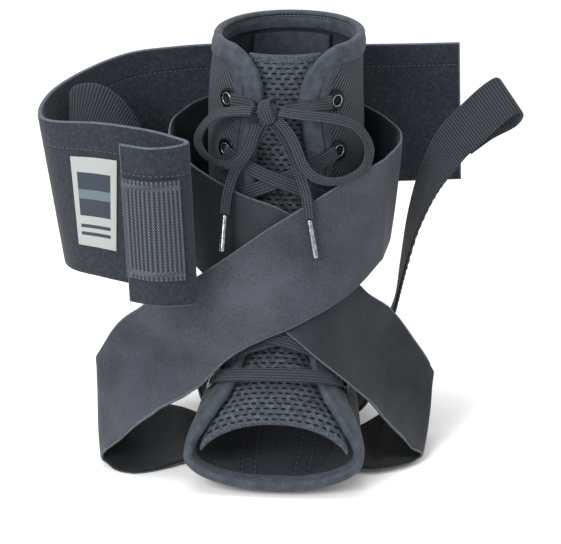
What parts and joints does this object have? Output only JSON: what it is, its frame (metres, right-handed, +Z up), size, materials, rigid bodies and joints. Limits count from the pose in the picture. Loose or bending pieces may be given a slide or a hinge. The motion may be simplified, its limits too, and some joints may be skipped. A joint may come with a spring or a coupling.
{
  "type": "lace-up ankle brace",
  "caption": "Lace-up ankle brace: an open-toed cloth boot with a mesh tongue, crossed figure-eight straps with pull loops, a wrap cuff with a folded tab, and a tied shoelace.",
  "frame": {"origin": "on the floor under the axis of the leg, in the flat underside of the strap that passes under the sole", "axes": "+Z up along the leg, -Y toward the toes, +X to the wearer's right"},
  "size_m": [0.2747, 0.1675, 0.2384],
  "materials": {
    "nylon": "ribbed ballistic nylon, matt",
    "binding": "smooth padded edge binding",
    "mesh": "spacer mesh with open holes",
    "lining": "smooth knit",
    "strap": "satin nylon strap, slightly speckled",
    "webbing": "ribbed webbing",
    "cuff": "brushed loop fabric over foam",
    "label": "woven label",
    "lace": "flat woven lace",
    "eyelet": "black enamel",
    "aglet": "bright crimped metal"
  },
  "bodies": {
    "root": {"boot_shell": "nylon", "edge_binding": "binding", "tongue": "mesh", "back_lining": "lining", "strap_over": "strap", "strap_under": "strap", "pull_right": "webbing", "pull_left": "webbing", "cuff": "cuff", "cuff_ribbed_patch": "webbing", "cuff_label": "label", "lace_knot": "lace", "lace_top_left": "lace", "lace_top_right": "lace", "lace_bar": "lace", "lace_loop_left": "lace", "lace_loop_right": "lace", "lace_end_left": "lace", "lace_end_right": "lace", "aglet_left": "aglet", "aglet_right": "aglet", "lace_under_1": "lace", "lace_over_1": "lace", "lace_under_2": "lace", "lace_over_2": "lace", "lace_under_3": "lace", "lace_over_3": "lace", "lace_under_4": "lace", "lace_over_4": "lace", "eyelet_left_1": "eyelet", "eyelet_left_2": "eyelet", "eyelet_left_3": "eyelet", "eyelet_left_4": "eyelet", "eyelet_left_5": "eyelet", "eyelet_left_6": "eyelet", "eyelet_right_1": "eyelet", "eyelet_right_2": "eyelet", "eyelet_right_3": "eyelet", "eyelet_right_4": "eyelet", "eyelet_right_5": "eyelet", "eyelet_right_6": "eyelet"}
  },
  "joints": []
}
